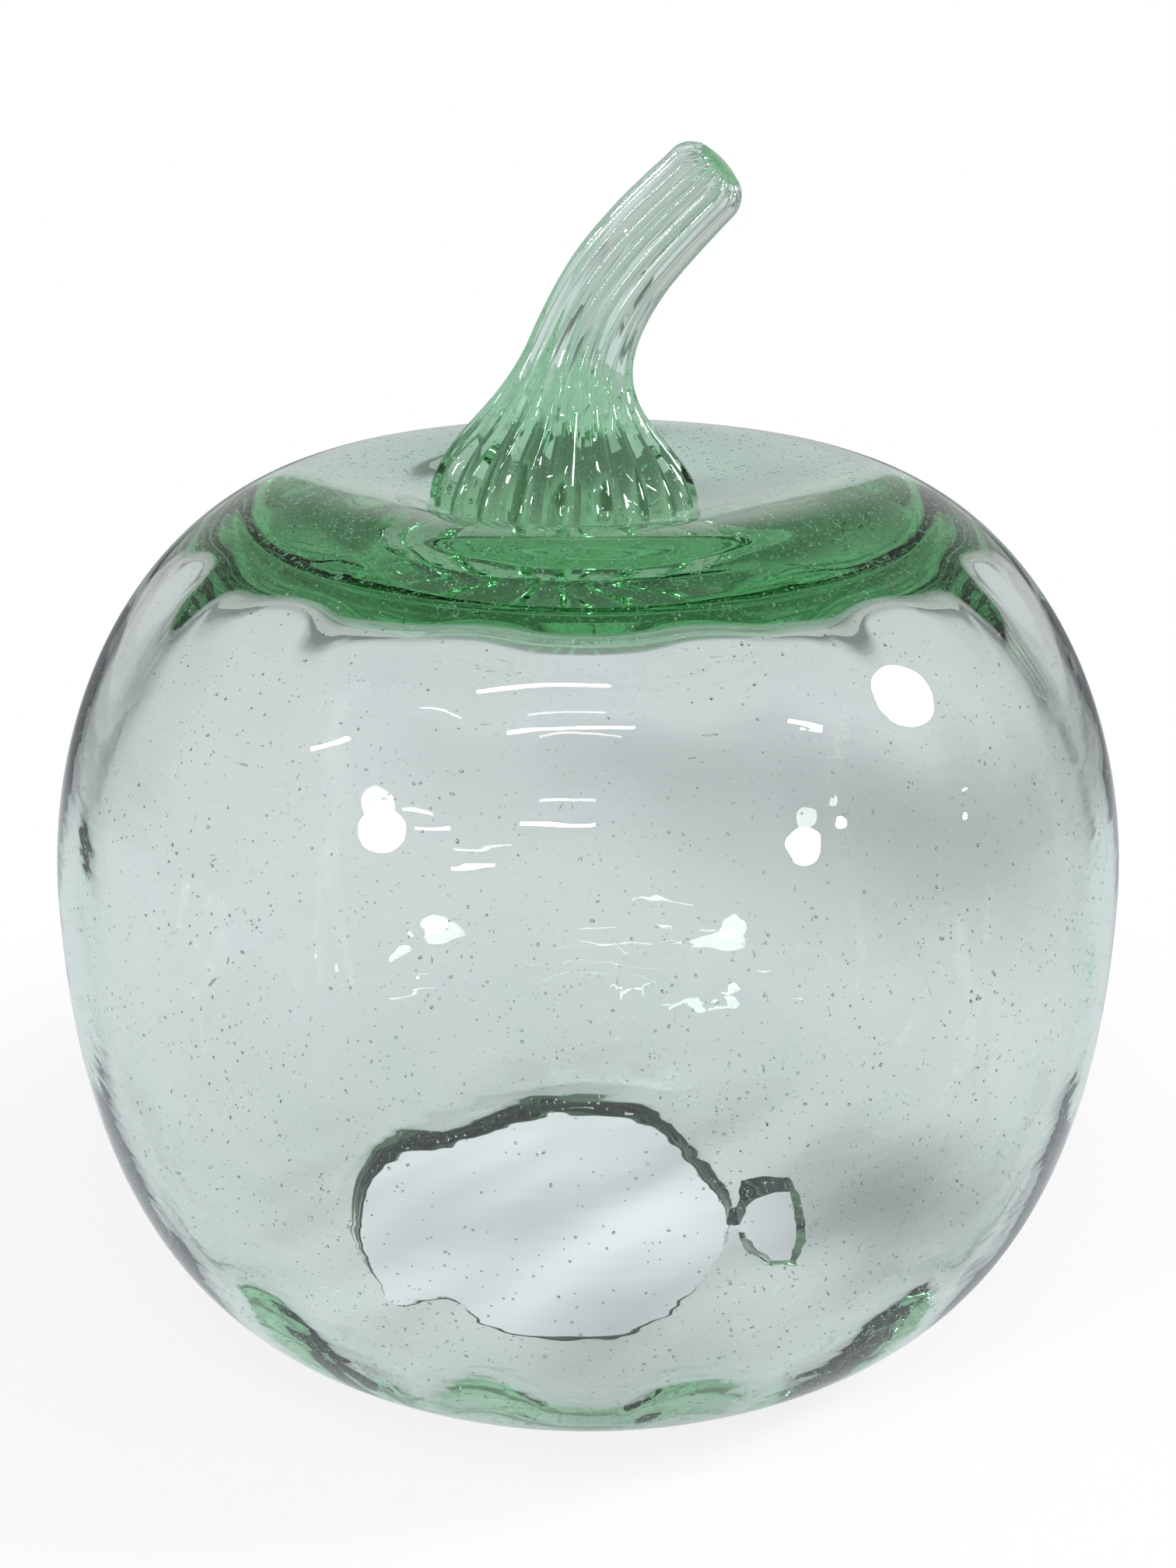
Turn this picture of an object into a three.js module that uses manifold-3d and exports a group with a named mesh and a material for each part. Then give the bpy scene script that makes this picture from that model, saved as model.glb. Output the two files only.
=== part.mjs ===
// A hand-blown glass pumpkin: a hollow body with optic ribs on its inside, open at the base where it was
// broken off the pipe, and a solid fluted stem laid hot into the dimple of its crown.
// Millimetres, +Z up, origin in the middle of the ring that it stands on. The stem bends towards +X.
import * as THREE from "three";
import { mergeVertices } from "three/addons/utils/BufferGeometryUtils.js";
import Module from "manifold-3d";

// Outside of the body
const bodyDiameter = 200;
const bellyHeight = 81.7; // level of the widest ring
const crownHeight = 157.5;
const crownDiameter = 95; // ring of the highest points
const lowerRoundness = 2.29; // exponent of the lower wall's curve: 2 is an ellipse, more is squarer
const upperRoundness = 1.94;

// Wide shallow dimple in the crown, round the stem's foot
const dimpleDepth = 5.8;
const dimpleFloorDiameter = 34;

// Thickness of the glass
const sideWall = 3;
const shoulderThickness = 8.7; // from the top of the crown down to the edge of the cavity's ceiling
const ceilingThickness = 16.4; // under the dimple's floor, where the soft ceiling sagged
const ceilingDiameter = 120;
const ceilingFloorDiameter = 24; // lowest part of the sagging ceiling
const cavityRoundness = 1.98; // of the cavity's shoulder
const baseThickness = 4.6;

// Optic ribs on the inside of the wall
const ribCount = 14;
const ribDepth = 1.4;

// Opening broken through the base: an oval, with a fan-shaped chip behind a narrow neck
const openingWidth = 76;
const openingLength = 90;
const openingOffsetX = -7.8;
const openingOffsetY = -2.8;
const chipLength = 32;
const chipReach = 8.5;
const chipOffsetY = -7.3;
const neckWidth = 5;
const neckReach = 1.5;

// Ring that the body stands on, round the opening
const lipMargin = 3.8;
const standingRingWidth = 4.5;
const kickHeight = 1.5; // the base is raised this much inside the ring
const kickSlope = 3;

// Stem
const stemFootDiameter = 49.2;
const stemFootOffset = -4.4; // the foot and the dimple sit a little off the body's axis
const stemFootSink = 2.4; // the foot takes the dimple's form from this far below the dimple's floor
const stemNeckDiameter = 20.8;
const stemTipDiameter = 17.2;
const stemRise = 60; // height of the middle of the cut end above the dimple's floor
const stemReach = 26.5; // the cut end lies this far beyond the foot, along +X
const stemLean = 5; // and leans this far to the front
const stemUpright = 36.5; // length of the upright pull at the foot
const bendDrop = 18.9; // the bend is pulled from a point this far below the cut end
const bendLead = 8.4; // and this far beyond the foot
const flareHeight = 18.3;
const flarePower = 2.6; // exponent of the foot's bell shape: more is fuller at the bottom
const footEdgeRadius = 2;
const tipEdgeRadius = 4;
const fluteCount = 20;
const fluteDepth = 1.5; // at the neck, and in proportion to the stem's girth elsewhere
const stemTwist = 30; // degrees, from the foot to the cut end
const fusedSeam = 0.3; // between the foot and the dimple

// Fineness of the facets
const bodySteps = 60;
const curveSteps = 8;
const stepsPerRib = 6;
const stepsPerFlute = 4;
const shaftSteps = 14;
const edgeSteps = 3;
const ovalSteps = 32;
const cutOvershoot = 4; // the cutters run this far past the faces that they cut

const bodyRadius = bodyDiameter / 2;
const seatHeight = crownHeight - dimpleDepth;
const dimpleRadius = dimpleFloorDiameter / 2;
const crownRadius = crownDiameter / 2;
const cavityRadius = bodyRadius - sideWall;
const ceilingRadius = ceilingDiameter / 2;

const glass = new THREE.MeshStandardMaterial({
  color: 0xc4d6ce,
  roughness: 0.04,
  metalness: 0,
  transparent: true,
  opacity: 0.45,
});

const wasm = await Module();
wasm.setup();

// A closed geometry as a solid that can be joined and cut.
function solidFrom(geometry) {
  const bare = geometry.clone();
  bare.deleteAttribute("normal");
  bare.deleteAttribute("uv");
  const merged = mergeVertices(bare, 1e-4);
  return new wasm.Manifold(
    new wasm.Mesh({
      numProp: 3,
      vertProperties: merged.attributes.position.array,
      triVerts: new Uint32Array(merged.index.array),
    }),
  );
}

function geometryFrom(solid) {
  const mesh = solid.getMesh();
  const geometry = new THREE.BufferGeometry();
  geometry.setAttribute("position", new THREE.BufferAttribute(mesh.vertProperties, 3));
  geometry.setIndex(new THREE.BufferAttribute(mesh.triVerts, 1));
  geometry.computeVertexNormals();
  return geometry;
}

function piece(name, geometry) {
  const mesh = new THREE.Mesh(geometry, glass.clone());
  mesh.name = name;
  return mesh;
}

// The quarter of a superellipse from a flat end at (flatRadius, flatHeight) to an upright end at the belly.
function quarterCurve(flatRadius, flatHeight, sideRadius, roundness) {
  const points = [];
  for (let step = 0; step <= curveSteps; step++) {
    const angle = (Math.PI / 2) * (1 - step / curveSteps);
    const across = Math.max(Math.cos(angle), 0) ** (2 / roundness);
    const along = Math.sin(angle) ** (2 / roundness);
    points.push(
      new THREE.Vector2(
        flatRadius + (sideRadius - flatRadius) * across,
        bellyHeight + (flatHeight - bellyHeight) * along,
      ),
    );
  }
  return points;
}

// Plan of the opening: the oval, and the chip that fans out beyond its +X edge.
function openingShapes() {
  const halfWidth = openingWidth / 2;
  const halfLength = openingLength / 2;
  const oval = new THREE.Shape();
  oval.absellipse(openingOffsetX, openingOffsetY, halfWidth, halfLength, 0, 2 * Math.PI);

  const chipInOval = THREE.MathUtils.clamp((chipOffsetY - openingOffsetY) / halfLength, -1, 1);
  const edgeX = openingOffsetX + halfWidth * Math.sqrt(1 - chipInOval ** 2);
  const neckX = edgeX + neckReach;
  const farX = neckX + chipReach;
  const chip = new THREE.Shape();
  chip.moveTo(edgeX - neckWidth, chipOffsetY - neckWidth / 2);
  chip.lineTo(neckX, chipOffsetY - neckWidth / 2);
  chip.lineTo(farX, chipOffsetY - chipLength / 2);
  chip.lineTo(farX, chipOffsetY + chipLength / 2);
  chip.lineTo(neckX, chipOffsetY + neckWidth / 2);
  chip.lineTo(edgeX - neckWidth, chipOffsetY + neckWidth / 2);
  chip.closePath();
  return [oval, chip];
}

const openings = openingShapes();
const openingReach = Math.max(
  ...openings.flatMap((shape) => shape.getPoints(ovalSteps).map((point) => point.length())),
);
const ringInner = openingReach + lipMargin;
const ringOuter = ringInner + standingRingWidth;

// A soft slope from one ring to a smaller one, level at both, without the first ring.
function softSlope(fromRadius, fromHeight, toRadius, toHeight) {
  const points = [];
  for (let step = 1; step <= curveSteps; step++) {
    const share = step / curveSteps;
    points.push(
      new THREE.Vector2(
        THREE.MathUtils.lerp(fromRadius, toRadius, share),
        THREE.MathUtils.lerp(fromHeight, toHeight, THREE.MathUtils.smoothstep(share, 0, 1)),
      ),
    );
  }
  return points;
}

// A revolved profile, with its axis turned from Y to Z.
function revolved(profile, steps) {
  return new THREE.LatheGeometry(profile, steps).rotateX(Math.PI / 2);
}

// From the middle of the base, out over the standing ring, up the wall and down into the dimple, which lies
// off the axis with the stem.
function outerForm() {
  const base = [
    new THREE.Vector2(0, kickHeight),
    new THREE.Vector2(ringInner - kickSlope, kickHeight),
    new THREE.Vector2(ringInner, 0),
  ];
  const lower = quarterCurve(ringOuter, 0, bodyRadius, lowerRoundness);
  const upper = quarterCurve(crownRadius, crownHeight, bodyRadius, upperRoundness).reverse();
  const dimple = softSlope(crownRadius, crownHeight, dimpleRadius, seatHeight);
  const wall = [...base, ...lower, ...upper.slice(1)];
  const profile = [...wall, ...dimple, new THREE.Vector2(0, seatHeight)];
  const geometry = revolved(profile, bodySteps);
  const position = geometry.attributes.position;
  for (let index = 0; index < position.count; index++) {
    const row = index % profile.length;
    if (row < wall.length) continue;
    const share = THREE.MathUtils.smoothstep(crownRadius - profile[row].x, 0, crownRadius - dimpleRadius);
    position.setX(index, position.getX(index) + stemFootOffset * share);
  }
  return solidFrom(geometry);
}

// The hollow inside: a ceiling that sagged towards its middle, rounded shoulders and walls, and a flat floor,
// with the ribs standing inwards from the wall. They fade out towards the ceiling and the floor.
function cavity() {
  const edgeHeight = crownHeight - shoulderThickness;
  const sagHeight = seatHeight - ceilingThickness;
  const lower = quarterCurve(ringOuter, baseThickness, cavityRadius, lowerRoundness);
  const upper = quarterCurve(ceilingRadius, edgeHeight, cavityRadius, cavityRoundness).reverse();
  const profile = [
    new THREE.Vector2(0, baseThickness),
    ...lower,
    ...upper.slice(1),
    ...softSlope(ceilingRadius, edgeHeight, ceilingFloorDiameter / 2, sagHeight),
    new THREE.Vector2(0, sagHeight),
  ];
  const steps = ribCount * stepsPerRib;
  const geometry = revolved(profile, steps);
  const position = geometry.attributes.position;
  for (let index = 0; index < position.count; index++) {
    const radius = profile[index % profile.length].x;
    const column = Math.floor(index / profile.length) % steps;
    const turn = (2 * Math.PI * column) / steps;
    const swell = THREE.MathUtils.clamp((radius - ceilingRadius) / (cavityRadius - ceilingRadius), 0, 1);
    const ribbed = radius - ribDepth * swell * (0.5 - 0.5 * Math.cos(ribCount * turn));
    position.setX(index, ribbed * Math.sin(turn));
    position.setY(index, -ribbed * Math.cos(turn));
  }
  return solidFrom(geometry);
}

function blownBody() {
  let body = outerForm().subtract(cavity());
  const cut = { depth: baseThickness + 2 * cutOvershoot, bevelEnabled: false, curveSegments: ovalSteps };
  for (const shape of openings) {
    const cutter = new THREE.ExtrudeGeometry(shape, cut);
    body = body.subtract(solidFrom(cutter.translate(0, 0, -cutOvershoot)));
  }
  return geometryFrom(body);
}

// The middle line of the stem: upright out of the dimple, then bent over towards +X.
function stemLine() {
  const footHeight = seatHeight - stemFootSink;
  const tipX = stemFootOffset + stemReach;
  const tipHeight = seatHeight + stemRise;
  return new THREE.CubicBezierCurve3(
    new THREE.Vector3(stemFootOffset, 0, footHeight),
    new THREE.Vector3(stemFootOffset, 0, footHeight + stemUpright),
    new THREE.Vector3(stemFootOffset + bendLead, 0, tipHeight - bendDrop),
    new THREE.Vector3(tipX, -stemLean, tipHeight),
  );
}

// Stations along the stem, each a distance from the foot and an inset that rounds off its two ends.
function stemStations(length) {
  const stations = [];
  for (let step = 0; step < edgeSteps; step++) {
    const angle = (Math.PI / 2) * (step / edgeSteps);
    stations.push({
      distance: footEdgeRadius * (1 - Math.cos(angle)),
      inset: footEdgeRadius * (1 - Math.sin(angle)),
    });
  }
  const shaftEnd = length - tipEdgeRadius;
  for (let step = 0; step <= shaftSteps; step++) {
    const distance = THREE.MathUtils.lerp(footEdgeRadius, shaftEnd, step / shaftSteps);
    stations.push({ distance, inset: 0 });
  }
  for (let step = 1; step <= edgeSteps; step++) {
    const angle = (Math.PI / 2) * (step / edgeSteps);
    stations.push({
      distance: shaftEnd + tipEdgeRadius * Math.sin(angle),
      inset: tipEdgeRadius * (1 - Math.cos(angle)),
    });
  }
  return stations;
}

// A fluted rod, wrapped round the middle line: rounded ridges with sharp grooves between them. Its foot takes
// the form of the dimple that it was laid into, a seam away from it.
function appliedStem() {
  const line = stemLine();
  const length = line.getLength();
  const stations = stemStations(length);
  const turns = fluteCount * stepsPerFlute;
  const geometry = new THREE.CylinderGeometry(1, 1, 1, turns, stations.length - 1);
  const position = geometry.attributes.position;
  const across = new THREE.Vector3(0, 1, 0);
  for (let index = 0; index < position.count; index++) {
    const rod = new THREE.Vector3().fromBufferAttribute(position, index);
    const station = stations[Math.round((rod.y + 0.5) * (stations.length - 1))];
    const fromAxis = Math.round(Math.hypot(rod.x, rod.z));
    const column = Math.round((Math.atan2(rod.x, rod.z) * turns) / (2 * Math.PI));
    const turn = (2 * Math.PI * ((column + turns) % turns)) / turns;

    const along = station.distance / length;
    const shaft = THREE.MathUtils.lerp(stemNeckDiameter, stemTipDiameter, along) / 2;
    const flare = (stemFootDiameter / 2 - shaft) * Math.exp(-((station.distance / flareHeight) ** flarePower));
    const girth = shaft + flare;
    const groove = fluteDepth * (girth / shaft) * (1 - Math.abs(Math.cos((fluteCount * turn) / 2)));
    const radius = fromAxis * (girth - groove - station.inset);

    const middle = line.getPointAt(along);
    const tangent = line.getTangentAt(along);
    const sideways = new THREE.Vector3().crossVectors(across, tangent).normalize();
    const upwards = new THREE.Vector3().crossVectors(tangent, sideways);
    const twisted = turn + THREE.MathUtils.degToRad(stemTwist) * along;
    middle.addScaledVector(sideways, radius * Math.sin(twisted));
    middle.addScaledVector(upwards, -radius * Math.cos(twisted));
    position.setXYZ(index, middle.x, middle.y, middle.z);
  }
  return geometryFrom(solidFrom(geometry).subtract(outerForm().translate(0, 0, fusedSeam)));
}

const pumpkin = new THREE.Group();
pumpkin.name = "glass_pumpkin";
pumpkin.add(piece("blown_body", blownBody()));
pumpkin.add(piece("applied_stem", appliedStem()));

export default pumpkin;
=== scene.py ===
# %% [markdown]
# # A blown glass pumpkin
# The real object is two gathers of pale green glass: a hollow body, blown and ribbed on its inside, and a
# solid fluted stem, laid into the dimple of the crown while both were hot. This lesson builds them around
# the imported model, which gives the frame: metres, +Z up, the stem bending towards +X.

# %% Load the frame
import math

import bmesh
import bpy
from mathutils import Matrix, Vector


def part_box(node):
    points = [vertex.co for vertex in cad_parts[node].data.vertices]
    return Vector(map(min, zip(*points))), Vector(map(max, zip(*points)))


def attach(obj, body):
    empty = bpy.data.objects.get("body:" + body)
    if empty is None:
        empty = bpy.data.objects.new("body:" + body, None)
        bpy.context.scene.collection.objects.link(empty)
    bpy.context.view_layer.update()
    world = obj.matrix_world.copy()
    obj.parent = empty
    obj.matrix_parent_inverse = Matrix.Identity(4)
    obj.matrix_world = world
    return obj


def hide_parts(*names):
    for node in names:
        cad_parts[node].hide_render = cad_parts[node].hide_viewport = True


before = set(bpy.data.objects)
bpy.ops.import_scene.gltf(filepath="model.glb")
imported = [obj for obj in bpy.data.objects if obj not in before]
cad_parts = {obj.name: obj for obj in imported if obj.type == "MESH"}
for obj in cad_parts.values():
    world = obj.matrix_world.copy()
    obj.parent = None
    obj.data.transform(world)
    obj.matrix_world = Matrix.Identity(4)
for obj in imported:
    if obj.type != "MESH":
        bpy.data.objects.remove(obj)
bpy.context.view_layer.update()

body_low, body_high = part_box("blown_body")
stem_low, stem_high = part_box("applied_stem")
print("body", body_low[:], body_high[:], "stem", stem_low[:], stem_high[:])

# %% [markdown]
# ## The camera
# A picture taken from close by shows more of the top than one from far away, so the camera's distance and
# height count as much as its angle. All of them were fitted together, to the body's outline and to the
# opening seen through the glass. The lens is given as for a sensor whose long side is 36 mm.

# %% Place the camera
CAMERA_DISTANCE = 0.378
CAMERA_HEIGHT = 0.2373
CAMERA_PITCH = math.radians(20.41)
LENS_MM = 48.29
SENSOR_MM = 36


def place_camera():
    data = bpy.data.cameras.new("photo_camera")
    data.lens = LENS_MM
    data.sensor_width = SENSOR_MM
    data.clip_start = 0.01
    camera = bpy.data.objects.new("photo_camera", data)
    camera.location = (0, -CAMERA_DISTANCE, CAMERA_HEIGHT)
    camera.rotation_euler = (math.pi / 2 - CAMERA_PITCH, 0, 0)
    bpy.context.scene.collection.objects.link(camera)
    bpy.context.scene.camera = camera


place_camera()
print("camera", CAMERA_DISTANCE, "m in front,", CAMERA_HEIGHT, "m up, lens", LENS_MM, "mm")

# %% [markdown]
# ## Helpers for node trees
# Every tree below is written with the same few helpers. A node's inputs take either a plain value or the
# socket of another node, and the helper sets or links them. A ramp fades from one value to another, which
# many of the shapes and tones below need.

# %% Helpers for nodes


def node(tree, kind, feeds=None, **settings):
    made = tree.nodes.new(kind)
    for name, value in settings.items():
        setattr(made, name, value)
    for key, value in (feeds or {}).items():
        if isinstance(value, bpy.types.NodeSocket):
            tree.links.new(value, made.inputs[key])
        else:
            made.inputs[key].default_value = value
    return made


def calc(tree, operation, *values):
    feeds = dict(enumerate(values))
    return node(tree, "ShaderNodeMath", feeds, operation=operation).outputs[0]


def ramp(tree, value, start, end, low, high, kind="SMOOTHSTEP"):
    """Low before start, high after end, and a fade from one to the other between them."""
    return node(tree, "ShaderNodeMapRange", {
        "Value": value, "From Min": start, "From Max": end, "To Min": low, "To Max": high,
    }, interpolation_type=kind).outputs[0]


# %% [markdown]
# A Geometry Nodes tree gets a named input for each of its sizes. Its result is kept as a plain mesh and the
# modifier is taken off again, so the finished piece has no live modifiers.

# %% Helpers for meshes


def new_tree(name, sizes):
    """A Geometry Nodes tree with one geometry input and output, and a named number for each size."""
    tree = bpy.data.node_groups.new(name, "GeometryNodeTree")
    tree.interface.new_socket("Geometry", in_out="INPUT", socket_type="NodeSocketGeometry")
    tree.interface.new_socket("Geometry", in_out="OUTPUT", socket_type="NodeSocketGeometry")
    for label, value in sizes.items():
        kind = "NodeSocketInt" if isinstance(value, int) else "NodeSocketFloat"
        tree.interface.new_socket(label, in_out="INPUT", socket_type=kind)
    start = tree.nodes.new("NodeGroupInput")
    end = tree.nodes.new("NodeGroupOutput")
    return tree, start.outputs, end.inputs


def run_tree(name, mesh, tree, sizes):
    """Puts the tree on a mesh as a modifier, sets its sizes and keeps the result as a plain mesh."""
    source = bpy.data.objects.new(name, mesh)
    bpy.context.scene.collection.objects.link(source)
    modifier = source.modifiers.new(tree.name, "NODES")
    modifier.node_group = tree
    for item in tree.interface.items_tree:
        if item.in_out == "INPUT" and item.name in sizes:
            modifier[item.identifier] = sizes[item.name]
    made = plain_copy(source)
    source.modifiers.remove(modifier)
    source.data = made
    return source


def plain_copy(source):
    graph = bpy.context.evaluated_depsgraph_get()
    return bpy.data.meshes.new_from_object(source.evaluated_get(graph))


def signed_volume(mesh):
    work = bmesh.new()
    work.from_mesh(mesh)
    volume = work.calc_volume(signed=True)
    work.free()
    return volume


# %% [markdown]
# ## The glass
# Green glass looks pale where it is thin and deep green where light travels far through it. A tint on the
# surface can't do that. A clear surface over a volume that absorbs red most and green least can, and the
# dark band under the crown then comes by itself, from light that is trapped in the thick top. Blowing leaves
# faint level ripples on the body, given by a bump that fades out at the crown, and a breath of haze here and
# there, given by a little roughness.

# %% Glass materials
MM = 0.001
GLASS_IOR = 1.52
ABSORBED_PER_METRE = (14.0, 4.4, 11.6)
DENSITY_MARGIN = 1.1
RIPPLES_PER_METRE = (40, 40, 150)
RIPPLE_DEPTH = 0.06 * MM
RIPPLE_FADE = (148 * MM, 156 * MM)
HAZE_SCALE = 30.0
HAZE_FROM = (0.5, 0.8)
MOST_HAZE = 0.04


def absorbing_volume(tree, per_metre):
    density = max(per_metre) * DENSITY_MARGIN
    colour = [1 - value / density for value in per_metre]
    return node(tree, "ShaderNodeVolumeAbsorption", {"Color": (*colour, 1), "Density": density})


def clear_glass(name):
    material = bpy.data.materials.new(name)
    material.use_nodes = True
    tree = material.node_tree
    surface = tree.nodes["Principled BSDF"]
    surface.inputs["Base Color"].default_value = (1, 1, 1, 1)
    surface.inputs["Roughness"].default_value = 0.0
    surface.inputs["IOR"].default_value = GLASS_IOR
    surface.inputs["Transmission Weight"].default_value = 1.0
    return material, tree, surface


def green_glass(name, per_metre):
    material, tree, surface = clear_glass(name)
    place = node(tree, "ShaderNodeTexCoord").outputs["Object"]
    drawn = node(tree, "ShaderNodeMapping", {"Vector": place, "Scale": RIPPLES_PER_METRE}).outputs[0]
    ripple = node(tree, "ShaderNodeTexNoise", {"Vector": drawn, "Scale": 1.0, "Detail": 2.0}).outputs[0]
    height = node(tree, "ShaderNodeSeparateXYZ", {0: place}).outputs["Z"]
    blown = ramp(tree, height, *RIPPLE_FADE, 1.0, 0.0, "LINEAR")
    ripple = calc(tree, "MULTIPLY", ripple, blown)
    bump = node(tree, "ShaderNodeBump", {"Height": ripple, "Strength": 1.0, "Distance": RIPPLE_DEPTH})
    tree.links.new(bump.outputs[0], surface.inputs["Normal"])
    breath = node(tree, "ShaderNodeTexNoise", {"Vector": place, "Scale": HAZE_SCALE, "Detail": 3.0})
    haze = ramp(tree, breath.outputs[0], *HAZE_FROM, 0.0, MOST_HAZE, "LINEAR")
    tree.links.new(haze, surface.inputs["Roughness"])
    volume = absorbing_volume(tree, per_metre)
    tree.links.new(volume.outputs["Volume"], tree.nodes["Material Output"].inputs["Volume"])
    return material


pumpkin_glass = green_glass("pumpkin_glass", ABSORBED_PER_METRE)
print("glass index", GLASS_IOR, "absorbs per metre", ABSORBED_PER_METRE)

# %% [markdown]
# ## The blown body
# The body is turned, so its shape follows a rule: one profile, carried round the axis. The profile runs from
# the middle of the hollow's ceiling down the inside, round the broken lip, and up the outside into the
# dimple. Sculpting could reach the same shape, but its sizes would have no names. A few knots, each a radius,
# a height and how steep the curve is there, give the bowl of the crown and the ceiling under it, which no
# simple arc fits. Each run is two radii and the steps between them. Both are in millimetres.

# %% Profile of the body
BODY_RADIUS = body_high[0]
CROWN_HEIGHT = 158.3 * MM
BELLY_HEIGHT = 81.7 * MM
SEAT_HEIGHT = 151.7 * MM
CROWN_RADIUS = 42.9 * MM
DIMPLE_RADIUS = 17 * MM
FOOT_OFFSET = -4.4 * MM
ROLL_KNOTS = [
    (60, 154.79, -0.39), (52, 157.21, -0.13), (43, 157.05, 0.12), (36, 155.79, 0.24), (24, 152.21, 0.17),
    (17, 151.7, 0),
]
ROLL_RUNS = [(60, 56, 4), (56, 17, 52)]
CEILING_KNOTS = [
    (0, 136.85, 0), (15, 136.55, 0.055), (30, 139.49, 0.303), (45, 144.29, 0.282), (61.8, 146.89, 0),
]
CEILING_RUNS = [(0, 54, 45), (54, 61.8, 10)]
SHOULDER_ROUNDNESS = 1.986
LIP_THINNING = 0.7 * MM
SIDE_WALL = 3 * MM
BASE_HEIGHT = 4.6 * MM
KICK_HEIGHT = 0.6 * MM
RING_INNER = 54.5 * MM
RING_OUTER = 57.8 * MM
LIP_RADIUS = 45 * MM
LIP_ROUND = 1.0 * MM
LOWER_ROUNDNESS = 2.29
UPPER_ROUNDNESS = 2.0
print("body", 2 * BODY_RADIUS, "m across, crown at", CROWN_HEIGHT, "wall", SIDE_WALL)

# %% [markdown]
# Three kinds of line make up the profile: quarters of superellipses, straight runs, and smooth curves through
# knots. Each is a short function that gives points from one end to the other.

# %% Lines of the profile


def quarter(flat, side, roundness, steps):
    """Points of a superellipse's quarter, from its flat end to its upright end, as (radius, height)."""
    points = []
    for step in range(steps + 1):
        angle = math.pi / 2 * (1 - step / steps)
        across = max(math.cos(angle), 0) ** (2 / roundness)
        along = math.sin(angle) ** (2 / roundness)
        points.append((flat[0] + (side[0] - flat[0]) * across, side[1] + (flat[1] - side[1]) * along))
    return points


def straight(start, end, steps):
    """Points from start up to, but without, end."""
    for step in range(steps):
        share = step / steps
        yield tuple(a + (b - a) * share for a, b in zip(start, end))


def curve_height(knots, radius):
    """The height, at a radius, of the smooth curve through knots of radius, height and steepness."""
    pairs = zip(knots, knots[1:])
    a, b = next(pair for pair in pairs if min(pair)[0] <= radius <= max(pair)[0])
    width = b[0] - a[0]
    t = (radius - a[0]) / width
    height = a[1] * (1 + 2 * t) * (1 - t) ** 2 + b[1] * t * t * (3 - 2 * t)
    return height + width * (a[2] * t * (1 - t) ** 2 - b[2] * t * t * (1 - t))


def through(knots, runs):
    """Points of that curve over each run, without the last one."""
    for first, last, steps in runs:
        for step in range(steps):
            radius = first + (last - first) * step / steps
            yield radius * MM, curve_height(knots, radius) * MM


def soft_step(value, start, end):
    share = min(max((value - start) / (end - start), 0), 1)
    return share * share * (3 - 2 * share)


# %% [markdown]
# The profile is walked once, from the middle of the ceiling round to the middle of the dimple. Each point
# also carries weights: how much it takes of the optic ribs, of the broken edge, of the dimple's shift under
# the stem, of the glass's unevenness and of the slant of the lip. The ribs are clear at the shoulder and near
# the base and almost gone at the belly, where the glass was stretched most.

# %% Walk along the profile
INNER_STEPS = 44
OUTER_STEPS = 48
SHOULDER_RIB = 0.5
SHOULDER_RISE, SHOULDER_FADE = (0.02, 0.25), (0.2, 0.75)
BELLY_RIB = 0.1
LOWER_RIB = 0.9
LOWER_RISE, LOWER_FADE = (0.3, 0.75), (0.85, 1)
CEILING_WOBBLE = 0.3
CEILING_WOBBLE_RISE = (0.1, 0.4)
OUTER_WOBBLE = 0.2
OUTER_WOBBLE_STEPS = (6, 20)
LIP_FACE_DROP = 1.4 * LIP_ROUND
ROLL_GAP = 0.5 * MM


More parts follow.
